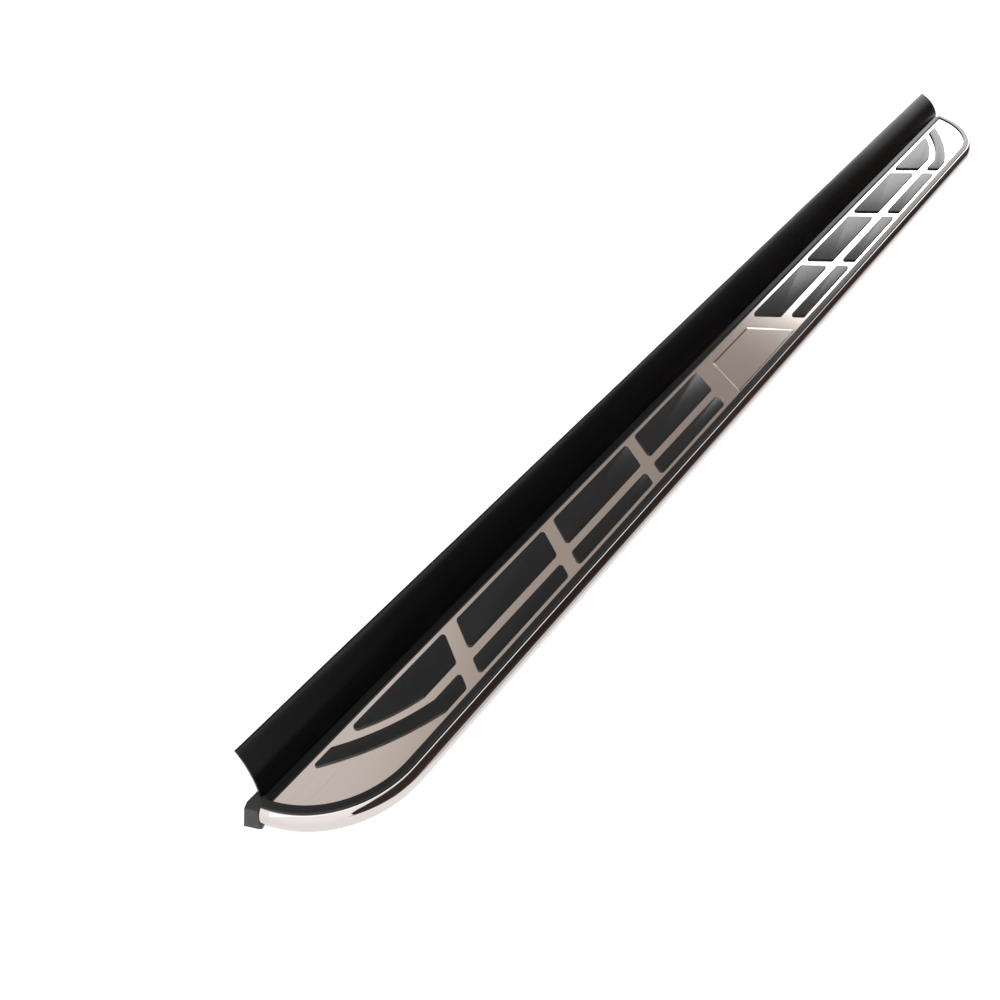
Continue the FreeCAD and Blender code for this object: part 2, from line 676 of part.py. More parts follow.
# End caps: a faceted block that flares outwards and a plug in the rail's rear chamber.
TOP_SHAPE = [
    ("#rail_half#+1", "-20"), ("#rail_half#+10", "-20"), ("#rail_half#+10", "3.2"),
    ("#rail_half#+18", "3.2"), ("#rail_half#+21", "8.4"), ("#rail_half#+30.8", "5.8"),
    ("#rail_half#+34.3", "5.9"), ("#rail_half#+41.1", "20.2"), ("#rail_half#+34.5", "23.4"),
    ("#rail_half#+1", "23.4"),
]
FLARE = {5: ("+9.8", "-4.2"), 6: ("+8.8", "-0.7"), 7: ("+8.9", ""), 8: ("+8.7", "")}
for right in (False, True):
    sign = "" if right else "-"
    cap = new_body("end_cap_right" if right else "end_cap_left")
    upper = new_sketch(cap, "upper", "XY_Plane", "-#cap_top#")
    lower = new_sketch(cap, "lower", "XY_Plane", "-#deck_top#")
    add_loop(upper, [("%s(%s)" % (sign, x), y) for x, y in TOP_SHAPE])
    spread = []
    for i, (x, y) in enumerate(TOP_SHAPE):
        more_x, more_y = FLARE.get(i, ("", ""))
        spread.append(("%s(%s%s)" % (sign, x, more_x), y + more_y))
    add_loop(lower, spread)
    block = cap.newObject("PartDesign::AdditiveLoft", "block")
    block.Profile = lower
    block.Sections = [upper]
    block.Ruled = True
    doc.recompute()
    plug = new_sketch(cap, "plug", "YZ_Plane", "%s(#rail_half#+1.5)" % sign)
    add_loop(plug, box_corners("%s+#rail_wall#+0.5" % room_r, "#rail_back#-#rail_wall#-0.5",
                               "%s+0.5" % floor, "%s-0.5" % ceiling))
    pad_up(cap, plug, "#cap_plug_long#+1.5", reverse=right)
    pilot = new_sketch(cap, "pilot", "XZ_Plane", "-#rail_back#")
    add_circle(pilot, "%s#screw_x#" % sign, "#screw_z#", "#screw_shank#")
    pocket(cap, pilot, "24", middle=True)
    parts.append(cap)

# Dark screws that hold the caps through the long holes in the rail's rear wall.
cap_screws = new_body("cap_screws")
cap_screws.AllowCompound = True
cap_heads = new_sketch(cap_screws, "cap_heads", "XZ_Plane", "-#rail_back#")
cap_shanks = new_sketch(cap_screws, "cap_shanks", "XZ_Plane", "-#rail_back#")
for sign in ("-", ""):
    add_circle(cap_heads, "%s#screw_x#" % sign, "#screw_z#", "#screw_head#")
    add_circle(cap_shanks, "%s#screw_x#" % sign, "#screw_z#", "#screw_shank#-0.1")
pad_up(cap_screws, cap_heads, "2.2", reverse=True)
pad_up(cap_screws, cap_shanks, "11")
parts.append(cap_screws)

# Nuts that slide in the rail's T-slot, one for each vehicle bracket.
for i, place in enumerate(("-#nut_outer_x#", "-#nut_inner_x#", "#nut_inner_x#", "#nut_outer_x#")):
    nut = new_body("slot_nut_%d" % (i + 1))
    nut.setExpression("Placement.Base.x", cell(place))
    plan = new_sketch(nut, "plan", "XY_Plane", "%s+#nut_lift#" % lip)
    add_loop(plan, box_corners("-#nut_long#/2", "#nut_long#/2",
                               "-#slot_centre#-#nut_wide#/2", "-#slot_centre#+#nut_wide#/2"))
    add_circle(plan, "0", "-#slot_centre#", "#nut_bore#")
    pad_up(nut, plan, "#nut_thick#")
    parts.append(nut)

doc.recompute()
for item in doc.Objects:
    if "Invalid" in item.State or "Error" in item.State:
        raise RuntimeError("%s is %s" % (item.Name, item.State))
os.makedirs("parts", exist_ok=True)
for item in parts:
    if item.Shape.isNull() or not item.Shape.isValid():
        raise RuntimeError("%s has no sound shape" % item.Label)
    item.Shape.exportStep("parts/%s.step" % item.Label)
    box = item.Shape.BoundBox
    print("%-14s %2d solids %9.0f mm3  X %.1f %.1f  Y %.1f %.1f  Z %.1f %.1f" % (
        item.Label, len(item.Shape.Solids), item.Shape.Volume,
        box.XMin, box.XMax, box.YMin, box.YMax, box.ZMin, box.ZMax))
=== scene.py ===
import math

import bpy
from mathutils import Matrix, Vector


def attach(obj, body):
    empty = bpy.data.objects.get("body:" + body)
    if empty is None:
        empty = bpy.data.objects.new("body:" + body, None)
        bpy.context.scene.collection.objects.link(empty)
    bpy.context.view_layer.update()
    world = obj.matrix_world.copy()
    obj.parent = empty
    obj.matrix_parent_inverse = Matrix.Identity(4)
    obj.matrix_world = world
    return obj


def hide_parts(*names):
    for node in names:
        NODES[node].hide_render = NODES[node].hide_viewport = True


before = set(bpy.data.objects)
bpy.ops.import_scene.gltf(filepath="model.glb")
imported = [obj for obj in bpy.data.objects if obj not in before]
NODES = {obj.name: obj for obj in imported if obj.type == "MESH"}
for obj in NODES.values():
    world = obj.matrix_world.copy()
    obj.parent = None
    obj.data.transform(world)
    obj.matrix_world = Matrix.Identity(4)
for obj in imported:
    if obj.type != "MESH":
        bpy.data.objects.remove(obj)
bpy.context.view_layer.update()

# Sizes are in millimetres in the board's own frame: X along the board from its middle, Y 0 at the
# tread's rear edge and negative towards the front, Z 0 at the tread's top.
SHIFT_Y = 26.07
DECK_TOP = 31.0
DEPTH = 84.3
END_X = 840.0
END_R = 128.0
END_Y = END_R - DEPTH
SWEEP = 73.0

# Pads: two rows of slanted bars either side of the middle, each row ending in a curved pad.
SLANT = 0.62
PITCH = 199.8
PAD_LONG = 177.4
MIDDLE = 86.6
BARS_A_SIDE = 3
REAR_BACK, REAR_FRONT = 7.5, 46.4
FRONT_BACK, FRONT_FRONT = 58.9, 77.9
PAD_CORNER, HORN_CORNER, BEND_CORNER = 4.0, 2.2, 5.0
PAD_FOOT, PAD_TOP, PAD_CROWN = -2.0, 2.8, 0.6


def spot(x, y, z):
    """Point in the row frame, in metres, from the board's own frame."""
    return Vector((x / 1000, (y + SHIFT_Y) / 1000, (z + DECK_TOP) / 1000))


# ---------------------------------------------------------------- materials

# Most of a noise texture's values lie between these two.
NOISE_LOW, NOISE_HIGH = 0.3, 0.7
EVEN = (1, 1, 1)


def new_material(name):
    material = bpy.data.materials.new(name)
    material.use_nodes = True
    tree = material.node_tree
    tree.nodes.clear()
    out = tree.nodes.new("ShaderNodeOutputMaterial")
    shader = tree.nodes.new("ShaderNodeBsdfPrincipled")
    tree.links.new(shader.outputs["BSDF"], out.inputs["Surface"])
    return material, tree, shader


def place_coords(tree, scale):
    """Object coordinates, stretched."""
    coords = tree.nodes.new("ShaderNodeTexCoord")
    mapping = tree.nodes.new("ShaderNodeMapping")
    mapping.inputs["Scale"].default_value = scale
    tree.links.new(coords.outputs["Object"], mapping.inputs["Vector"])
    return mapping.outputs["Vector"]


def noise(tree, vector, scale, detail=3.0, rough=0.5):
    node = tree.nodes.new("ShaderNodeTexNoise")
    node.inputs["Scale"].default_value = scale
    node.inputs["Detail"].default_value = detail
    node.inputs["Roughness"].default_value = rough
    tree.links.new(vector, node.inputs["Vector"])
    return node.outputs["Fac"]


def remap(tree, value, low, high, from_low=0.0, from_high=1.0):
    node = tree.nodes.new("ShaderNodeMapRange")
    node.inputs["From Min"].default_value = from_low
    node.inputs["From Max"].default_value = from_high
    node.inputs["To Min"].default_value = low
    node.inputs["To Max"].default_value = high
    tree.links.new(value, node.inputs["Value"])
    return node.outputs["Result"]


def maths(tree, operation, a, b, c=0.0):
    """Math node on numbers or other nodes' outputs."""
    node = tree.nodes.new("ShaderNodeMath")
    node.operation = operation
    for socket, value in zip(node.inputs, (a, b, c)):
        if isinstance(value, (int, float)):
            socket.default_value = value
        else:
            tree.links.new(value, socket)
    return node.outputs[0]


def tint(tree, value, dark, light):
    """Colour between two, picked by a value. Sockets 6 and 7 are the Mix node's two colours."""
    node = tree.nodes.new("ShaderNodeMix")
    node.data_type = "RGBA"
    node.inputs[6].default_value = (*dark, 1)
    node.inputs[7].default_value = (*light, 1)
    tree.links.new(value, node.inputs[0])
    return node.outputs[2]


def bump(tree, shader, height, strength, distance):
    node = tree.nodes.new("ShaderNodeBump")
    node.inputs["Strength"].default_value = strength
    node.inputs["Distance"].default_value = distance
    tree.links.new(height, node.inputs["Height"])
    tree.links.new(node.outputs["Normal"], shader.inputs["Normal"])


def brushed(name, dark, light, rough_low, rough_high, grain, strength, streak):
    """Metal with fine brushed lines along the board, streaks of colour and a faint cloudiness."""
    line_share, cloud_share, line_depth = 0.65, 0.35, 0.0002
    material, tree, shader = new_material(name)
    lines = noise(tree, place_coords(tree, grain), 1.0, 4.0, 0.6)
    streaks = noise(tree, place_coords(tree, streak), 1.0, 2.0, 0.5)
    cloud = noise(tree, place_coords(tree, EVEN), 5.0, 3.0)
    shader.inputs["Metallic"].default_value = 1.0
    tree.links.new(tint(tree, remap(tree, streaks, 0, 1, NOISE_LOW, NOISE_HIGH), dark, light),
                   shader.inputs["Base Color"])
    mixed = maths(tree, "MULTIPLY_ADD", lines, line_share, remap(tree, cloud, 0, cloud_share))
    tree.links.new(remap(tree, mixed, rough_low, rough_high), shader.inputs["Roughness"])
    bump(tree, shader, lines, strength, line_depth)
    return material


def rubber(name, dark, light, rough, grain, strength, depth, stretch=EVEN, specular=0.5):
    """Dull rubber or plastic with a fine grain and a faint bloom."""
    rough_spread = 0.06
    material, tree, shader = new_material(name)
    fine = noise(tree, place_coords(tree, stretch), grain, 3.0, 0.6)
    bloom = noise(tree, place_coords(tree, EVEN), 9.0, 4.0, 0.6)
    tree.links.new(tint(tree, remap(tree, bloom, 0, 1, NOISE_LOW, NOISE_HIGH), dark, light),
                   shader.inputs["Base Color"])
    tree.links.new(remap(tree, fine, rough - rough_spread, rough + rough_spread),
                   shader.inputs["Roughness"])
    shader.inputs["Specular IOR Level"].default_value = specular
    bump(tree, shader, fine, strength, depth)
    return material


def chrome(name, dark, light, rough_low, rough_high):
    """Polished metal with faint smears."""
    material, tree, shader = new_material(name)
    smear = noise(tree, place_coords(tree, (3, 12, 12)), 2.0, 5.0, 0.6)
    shader.inputs["Metallic"].default_value = 1.0
    tree.links.new(tint(tree, smear, dark, light), shader.inputs["Base Color"])
    tree.links.new(remap(tree, smear, rough_low, rough_high, NOISE_LOW, NOISE_HIGH),
                   shader.inputs["Roughness"])
    return material


TREAD = brushed("tread_steel", (0.775, 0.71, 0.675), (0.815, 0.747, 0.71), 0.085, 0.12,
                (160, 5200, 5200), 0.03, (16, 1300, 1300))
RAIL = brushed("rail_aluminium", (0.44, 0.45, 0.46), (0.54, 0.545, 0.55), 0.24, 0.40,
               (9, 900, 900), 0.05, (5, 500, 500))
ZINC = brushed("zinc_steel", (0.50, 0.50, 0.47), (0.66, 0.66, 0.62), 0.3, 0.5,
               (300, 300, 300), 0.03, (200, 200, 200))
CHROME = chrome("trim_chrome", (0.51, 0.477, 0.467), (0.55, 0.515, 0.503), 0.015, 0.06)
PAD = rubber("pad_rubber", (0.005, 0.005, 0.0055), (0.008, 0.008, 0.009), 0.21, 1400, 0.12,
             0.0003, specular=0.33)
STRIP = rubber("strip_rubber", (0.008, 0.008, 0.009), (0.013, 0.013, 0.014), 0.18, 900, 0.06,
               0.0002, (0.06, 1, 1), 0.30)
FLAP = rubber("flap_rubber", (0.0014, 0.0014, 0.0016), (0.0024, 0.0024, 0.0028), 0.22, 1500, 0.02,
              0.0002, (0.3, 1, 1), 0.20)
HOLDER = rubber("holder_plastic", (0.012, 0.012, 0.013), (0.018, 0.018, 0.019), 0.32, 800, 0.06,
                0.0002, (0.04, 1, 1), 0.30)
CAP = rubber("cap_plastic", (0.013, 0.013, 0.014), (0.019, 0.019, 0.020), 0.42, 1600, 0.15,
             0.0003, specular=0.40)
TRAY = rubber("tray_plastic", (0.014, 0.014, 0.015), (0.022, 0.022, 0.023), 0.5, 1500, 0.12, 0.0003)
DARK = rubber("dark_screw", (0.015, 0.015, 0.016), (0.03, 0.03, 0.03), 0.35, 2500, 0.05, 0.0001)


# ---------------------------------------------------------------- geometry helpers

NEARLY_STRAIGHT = math.radians(172)


def arc_centre(p, q, radius, side):
    """Centre of the arc from p to q: on the left where side is 1, on the right where it is -1."""
    half = math.dist(p, q) / 2
    reach = side * math.sqrt(max(radius * radius - half * half, 0)) / (2 * half)
    return (p[0] + q[0]) / 2 - (q[1] - p[1]) * reach, (p[1] + q[1]) / 2 + (q[0] - p[0]) * reach


def arc(p, q, radius, side, steps):
    """Points from p to q along an arc, q left out."""
    cx, cy = arc_centre(p, q, radius, side)
    first = math.atan2(p[1] - cy, p[0] - cx)
    last = math.atan2(q[1] - cy, q[0] - cx)
    turn = side * ((side * (last - first)) % math.tau)
    return [(cx + radius * math.cos(first + turn * i / steps),
             cy + radius * math.sin(first + turn * i / steps)) for i in range(steps)]


def rounded(corners, radius, steps=4):
    """Polygon with its sharp corners rounded. A corner may carry its own radius as a third value."""
    longest_share = 0.48
    points = []
    for i, corner in enumerate(corners):
        r = corner[2] if len(corner) > 2 else radius
        p = Vector(corner[:2])
        a = Vector(corners[i - 1][:2]) - p
        b = Vector(corners[(i + 1) % len(corners)][:2]) - p
        angle = a.angle(b)
        if r <= 0 or angle > NEARLY_STRAIGHT:
            points.append(tuple(p))
            continue
        back = min(r / math.tan(angle / 2), a.length * longest_share, b.length * longest_share)
        start = p + a.normalized() * back
        end = p + b.normalized() * back
        side = 1 if a.y * b.x - a.x * b.y > 0 else -1
        points += arc(tuple(start), tuple(end), back * math.tan(angle / 2), side, steps)
        points.append(tuple(end))
    return points


def inset(outline, amount):
    """Outline moved inwards along its corner normals; outline runs anticlockwise."""
    moved = []
    for i, point in enumerate(outline):
        p = Vector(point)
        before = (p - Vector(outline[i - 1])).normalized()
        after = (Vector(outline[(i + 1) % len(outline)]) - p).normalized()
        tangent = (before + after).normalized()
        moved.append((p.x - tangent.y * amount, p.y + tangent.x * amount))
    return moved


def clean(outline):
    """Outline without doubled points."""
    doubled = 0.02
    kept = []
    for point in outline:
        if not kept or math.dist(kept[-1], point) > doubled:
            kept.append(point)
    if math.dist(kept[0], kept[-1]) <= doubled:
        kept.pop()
    return kept


def skin(rings):
    """Vertices and faces of a solid through rings of equal length."""
    count = len(rings[0])
    vertices = [point for ring in rings for point in ring]
    faces = []
    for i in range(len(rings) - 1):
        for j in range(count):
            k = (j + 1) % count
            faces.append((i * count + j, i * count + k, (i + 1) * count + k, (i + 1) * count + j))
    last = (len(rings) - 1) * count
    faces.append(tuple(reversed(range(count))))
    faces.append(tuple(range(last, last + count)))
    return vertices, faces


def make_piece(name, rings, material, node, sharp_angle):
    """Solid through rings, in place of a CAD node."""
    vertices, faces = skin(rings)
    mesh = bpy.data.meshes.new(name)
    mesh.from_pydata([tuple(v) for v in vertices], [], faces)
    mesh.validate()
    mesh.update()
    for polygon in mesh.polygons:
        polygon.use_smooth = True
    mesh.set_sharp_from_angle(angle=math.radians(sharp_angle))
    mesh.materials.append(material)
    piece = bpy.data.objects.new(name, mesh)
    bpy.context.scene.collection.objects.link(piece)
    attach(piece, "board")
    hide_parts(node)


def end_ring(section, side, share):
    """Ring of a section at a share of the sweep round the left end, side -1, or the right, side 1."""
    turn = math.radians(SWEEP * share)
    return [spot(side * (END_X + (END_R + out) * math.sin(turn)),
                 END_Y - (END_R + out) * math.cos(turn), up) for out, up in section]


def band_rings(section):
    """Rings of a section given as (outwards, up), along the front edge and round both ends."""
    bend, straight = 44, 24
    left = [end_ring(section, -1, 1 - i / bend) for i in range(bend + 1)]
    front = [[spot(END_X * (2 * i / straight - 1), -DEPTH - out, up) for out, up in section]
             for i in range(1, straight)]
    right = [end_ring(section, 1, i / bend) for i in range(bend + 1)]
    return left + front + right


# ---------------------------------------------------------------- pieces kept from the CAD

def dress(node, material, softening):
    """CAD node shown as it is, with softened edges."""
    piece = NODES[node]
    piece.data.materials.clear()
    piece.data.materials.append(material)
    weld = piece.modifiers.new("weld", "WELD")
    weld.merge_threshold = 0.000002
    bevel = piece.modifiers.new("bevel", "BEVEL")
    bevel.width = softening
    bevel.segments = 2
    bevel.limit_method = "ANGLE"
    bevel.angle_limit = math.radians(35)
    bevel.harden_normals = True


dress("tread_plate", TREAD, 0.00015)
dress("main_rail", RAIL, 0.0004)
dress("support_tray", TRAY, 0.0004)
dress("end_cap_left", CAP, 0.0009)
dress("end_cap_right", CAP, 0.0009)
dress("cap_screws", DARK, 0.0004)
dress("deck_screws", ZINC, 0.0003)
for number in range(1, 5):
    dress("slot_nut_%d" % number, ZINC, 0.0005)


# ---------------------------------------------------------------- pads

def pad_end(place):
    """X of a left-hand pad's inner end, carried back to the tread's rear edge."""
    return -(MIDDLE + place * PITCH)


def bar_outline(place, back, front):
    near = pad_end(place)
    far = near - PAD_LONG
    return rounded([(far - SLANT * back, -back), (far - SLANT * front, -front),
                    (near - SLANT * front, -front), (near - SLANT * back, -back)], PAD_CORNER, 6)


def tip(level, p, q, radius, side, corner=PAD_CORNER):
    """Where a rounded tip leaves the line Y = level and where it meets the arc from p to q."""
    cx, cy = arc_centre(p, q, radius, side)
    span = radius - side * corner
    y = level - corner
    x = cx - math.sqrt(span * span - (y - cy) ** 2)
    return (x, level), (cx + (x - cx) * radius / span, cy + (y - cy) * radius / span)


def with_inner_end(curve, bend, back, front):
    """Outline of an end pad: its curved side, the bend and the slanted inner end."""
    near = pad_end(BARS_A_SIDE)
    corners = [(x, y, 0) for x, y in curve] + [(*bend, BEND_CORNER)]
    corners += [(near - SLANT * front, -front), (near - SLANT * back, -back)]
    return rounded(corners, PAD_CORNER, 6)


def leaf_outline():
    """Rear row's end pad."""
    outer_r = 270
    bend = (-771.0, -REAR_FRONT)
    start, end = tip(-REAR_BACK, (-857.1, -REAR_BACK), bend, outer_r, 1)
    curve = arc(start, end, PAD_CORNER, 1, 10) + arc(end, bend, outer_r, 1, 22)
    return with_inner_end(curve, bend, REAR_BACK, REAR_FRONT)


def horn_outline():
    """Front row's end pad, which runs back round the leaf-shaped one."""
    inner_r, outer_r = 330, 410
    level = -7.0
    root = (-768.0, -FRONT_BACK)
    bend = (-771.0, -FRONT_FRONT)
    inner_line, inner_end = tip(level, root, (-879.1, level), inner_r, -1)
    outer_line, outer_start = tip(level, (-909.1, level), bend, outer_r, 1, HORN_CORNER)
    curve = arc(root, inner_end, inner_r, -1, 26) + arc(inner_end, inner_line, PAD_CORNER, 1, 4)
    curve += [inner_line] + arc(outer_line, outer_start, HORN_CORNER, 1, 10)
    curve += arc(outer_start, bend, outer_r, 1, 26)
    return with_inner_end(curve, bend, FRONT_BACK, FRONT_FRONT)


def add_pad(name, outline, right):
    """Rubber block with a rounded upper edge."""
    crown_steps = 5
    outline = clean(outline)
    if right:
        outline = [(-x, y) for x, y in reversed(outline)]
    area = sum(a[0] * b[1] - b[0] * a[1] for a, b in zip(outline, outline[1:] + outline[:1]))
    if area < 0:
        outline.reverse()
    rings = [[spot(x, y, z) for x, y in outline] for z in (PAD_FOOT, PAD_TOP - PAD_CROWN)]
    for step in range(1, crown_steps + 1):
        angle = math.pi / 2 * step / crown_steps
        moved = inset(outline, PAD_CROWN * (1 - math.cos(angle)))
        rings.append([spot(x, y, PAD_TOP - PAD_CROWN * (1 - math.sin(angle))) for x, y in moved])
    make_piece(name + "_block", rings, PAD, name, 40)


# Pads are numbered from the left end, so on the left the numbers fall from the middle outwards.
for right in (False, True):
    for place in range(BARS_A_SIDE + 1):
        number = 5 + place if right else 4 - place
        if place < BARS_A_SIDE:
            rear = bar_outline(place, REAR_BACK, REAR_FRONT)
            front = bar_outline(place, FRONT_BACK, FRONT_FRONT)
        else:
            rear = leaf_outline()
            front = horn_outline()
        add_pad("rear_pad_%d" % number, rear, right)
        add_pad("front_pad_%d" % number, front, right)


# ---------------------------------------------------------------- edge strip and trim

def strip_section():
    """Section as (outwards, up): bead over the tread's edge, flat crown, rounded front."""
    foot, lap, front = -3.0, -0.7, 9.0
    shoulder, crest, brow = (-0.1, 2.0), (7.5, 1.6), (front, -0.3)
    section = [(0.2, foot), (0.2, 0.05), (lap, 0.05), (lap, 1.4)]
    section += arc((lap, 1.4), shoulder, 0.6, -1, 5)[1:]
    section += arc(shoulder, crest, 80, -1, 10) + arc(crest, brow, 1.7, -1, 8)
    section += [brow, (front, foot)]
    return section


def trim_section():
    """Section as (outwards, up): lip, bulge, wall, turned-in lower edge and the inner face."""
    lip, ridge, waist = (9.2, 0.0), (10.9, -0.62), (17.15, -14.0)
    inner_lip, inner_ridge, inner_waist = (9.2, -1.2), (10.13, -1.54), (15.95, -14.0)
    section = arc(lip, ridge, 2.64, -1, 7) + arc(ridge, waist, 17.5, -1, 22)
    section += [waist, (16.95, -18.5), (16.72, -22.7), (16.5, -23.05), (16.1, -23.2), (7.8, -23.2)]
    section += [(7.8, -22.0), (15.5, -22.0)]
    section += arc(inner_waist, inner_ridge, 16.3, 1, 14) + arc(inner_ridge, inner_lip, 1.44, 1, 4)
    return section + [inner_lip]


make_piece("edge_strip_band", band_rings(strip_section()[::-1]), STRIP, "edge_strip", 50)
make_piece("outer_trim_band", band_rings(trim_section()[::-1]), CHROME, "outer_trim", 45)


# ---------------------------------------------------------------- flap and holder

# The blade's section is a band of a circle about FLAP_Y, FLAP_Z. Its ends lean inwards with height.
FLAP_Y, FLAP_Z, FLAP_R, FLAP_T = 70.9, -15.3, 64.5, 2.6
BLADE_FRONT_Y, BLADE_REAR_Y = 9.0, 11.7
TIP_ANGLE = 110.4
FOOT_HALF, BLADE_HALF, BLADE_TAPER = 959.6, 965.4, 0.262
REARMOST = 49.3


def around(radius, degrees):
    """Point of the blade's section as (y, z)."""
    angle = math.radians(degrees)
    return FLAP_Y + radius * math.cos(angle), FLAP_Z + radius * math.sin(angle)


def flap_section():
    """Section as (share of height, y, z): foot, front face up, round the tip, rear face down."""
    steps, tip_round = 30, 0.5
    rear_r = FLAP_R - FLAP_T
    low_front = math.degrees(math.acos((BLADE_FRONT_Y - FLAP_Y) / FLAP_R))
    low_rear = math.degrees(math.acos((BLADE_REAR_Y - FLAP_Y) / rear_r))
    foot = [(9.2, 0.35), (0.9, 0.35), (0.9, 1.9)] + arc((0.9, 1.9), (1.45, 2.45), 0.55, -1, 4)[1:]
    foot += [(1.45, 2.45), (5.0, 2.66), (8.4, 2.8)]
    points = [(0.0, y, z) for y, z in foot]
    for i in range(steps + 1):
        share = i / steps
        radius = FLAP_R - (tip_round if i == steps else 0)
        points.append((share, *around(radius, low_front + (TIP_ANGLE - low_front) * share)))
    for radius in (FLAP_R - 0.9, FLAP_R - 1.7):
        points.append((1.0, *around(radius, TIP_ANGLE - 0.5)))
    for i in range(steps + 1):
        share = 1 - i / steps
        radius = rear_r + (tip_round if i == 0 else 0)
        points.append((share, *around(radius, low_rear + (TIP_ANGLE - low_rear) * share)))
    return points + [(0.0, BLADE_REAR_Y, -0.6), (0.0, 9.2, -0.6)]


def flap_wave(x):
    """Slow unevenness of the free edge along the board, in millimetres."""
    return 0.55 * math.sin(x / 118.0 + 0.6) + 0.4 * math.sin(x / 61.0 + 2.1) + 0.2 * math.sin(x / 27.0)


def flap_spot(along, share, y, z):
    """Point of the flap at a share of its length, from -1 to 1, leaning with the wave higher up."""
    half = BLADE_HALF - BLADE_TAPER * z if share > 0 else FOOT_HALF
    x = along * half
    lean = flap_wave(x) * share ** 2
    back = min(y + lean * 0.6 - 0.5 * share ** 2, REARMOST)
    return spot(x, back, z - lean * 0.5 - 0.3 * share)


def splash_flap():
    count = 150
    section = flap_section()
    rings = [[flap_spot(2 * i / count - 1, *point) for point in section] for i in range(count + 1)]
    make_piece("splash_flap_blade", rings, FLAP, "splash_flap", 60)


def flap_holder():
    """Channel along the tread's rear edge, with a lip forward over the tread."""
    half_length = 958.9
    corners = [(2.8, -4.75, 0.3), (18.5, -4.75, 0.3), (18.5, 1.0, 0.8), (16.5, 2.0, 0.8),
               (12.0, 2.0, 0.3), (12.0, -0.3, 0.1), (14.3, -0.3, 0.2), (14.3, -3.3, 0.2),
               (7.3, -3.3, 0.2), (7.3, -0.3, 0.2), (8.9, -0.3, 0.1), (8.9, 0.3, 0.1),
               (-0.6, 0.3, 0.3), (-0.6, -0.75, 0.1), (2.8, -0.75, 0.1)]
    profile = clean(rounded(corners, 0.3))
    rings = [[spot(x, y, z) for y, z in profile] for x in (-half_length, half_length)]
    make_piece("flap_holder_strip", rings, HOLDER, "flap_holder", 40)


splash_flap()
flap_holder()


# ---------------------------------------------------------------- studio, in metres

FLOOR_Z, CARD_Z = -0.0005, 0.0004
CARD_Y, CARD_EDGE_Y, GREY_EDGE_Y = -0.225, -0.115, -0.083
FAR_X = 3.4
LIGHT_RAYS = ("diffuse", "glossy", "transmission", "volume_scatter", "shadow")


def staged(name, vertices, faces, material, hidden_from=()):
    """Piece of the studio, unseen by the kinds of ray listed."""
    mesh = bpy.data.meshes.new(name)
    mesh.from_pydata(vertices, [], faces)
    mesh.materials.append(material)
    thing = bpy.data.objects.new(name, mesh)
    bpy.context.scene.collection.objects.link(thing)
    for ray in hidden_from:
        setattr(thing, "visible_" + ray, False)


def mottled(name, socket, dark, light, scale, rough=0.9, specular=0.5):
    """Stage material with a soft mottle on one of its colours."""
    material, tree, shader = new_material(name)
    tree.links.new(tint(tree, noise(tree, place_coords(tree, EVEN), scale, 2.0), dark, light),
                   shader.inputs[socket])
    shader.inputs["Roughness"].default_value = rough
    shader.inputs["Specular IOR Level"].default_value = specular
    return material, shader


def studio_floor():
    reach = 30
    material, shader = mottled("studio_floor", "Base Color", (0.60, 0.60, 0.60), (0.64, 0.64, 0.64),
                               3.0, specular=0.1)
    shader.inputs["Emission Color"].default_value = (1, 0.995, 0.993, 1)
    shader.inputs["Emission Strength"].default_value = 0.58
    corners = [(-reach, -reach, FLOOR_Z), (reach, -reach, FLOOR_Z),
               (reach, reach, FLOOR_Z), (-reach, reach, FLOOR_Z)]
    staged("floor", corners, [(0, 1, 2, 3)], material)


def dark_card():
    """Card in front of the board and on the floor before it, seen in the trim's bulge."""
    material, _ = mottled("dark_card", "Base Color", (0.004, 0.003, 0.003), (0.060, 0.035, 0.022), 2.5)
    upright = [(-1.04, CARD_Y, CARD_Z), (FAR_X, CARD_Y, CARD_Z), (FAR_X, CARD_Y, 0.20),
               (-0.5, CARD_Y, 0.20), (-0.94, CARD_Y, 0.15), (-1.02, CARD_Y, 0.11), (-1.05, CARD_Y, 0.06)]
    lying = [(-1.02, -0.160, CARD_Z), (-0.88, CARD_EDGE_Y, CARD_Z), (FAR_X, CARD_EDGE_Y, CARD_Z)]
    staged("front_card", upright + lying, [(0, 1, 2, 3, 4, 5, 6), (1, 0, 7, 8, 9)], material,
           ("camera", "diffuse", "shadow"))


def grey_card():
    """Card on the floor right beside the board, seen in the trim's wall."""
    material, shader = mottled("grey_card", "Emission Color", (0.82, 0.80, 0.79), (0.90, 0.88, 0.87), 2.5)
    shader.inputs["Base Color"].default_value = (0.02, 0.02, 0.02, 1)
    shader.inputs["Emission Strength"].default_value = 1.0
    staged("grey_card", [(-0.86, CARD_EDGE_Y, CARD_Z), (FAR_X, CARD_EDGE_Y, CARD_Z),
                         (FAR_X, GREY_EDGE_Y, CARD_Z), (-0.80, GREY_EDGE_Y, CARD_Z)],
           [(0, 1, 2, 3)], material, ("camera", "diffuse", "shadow"))


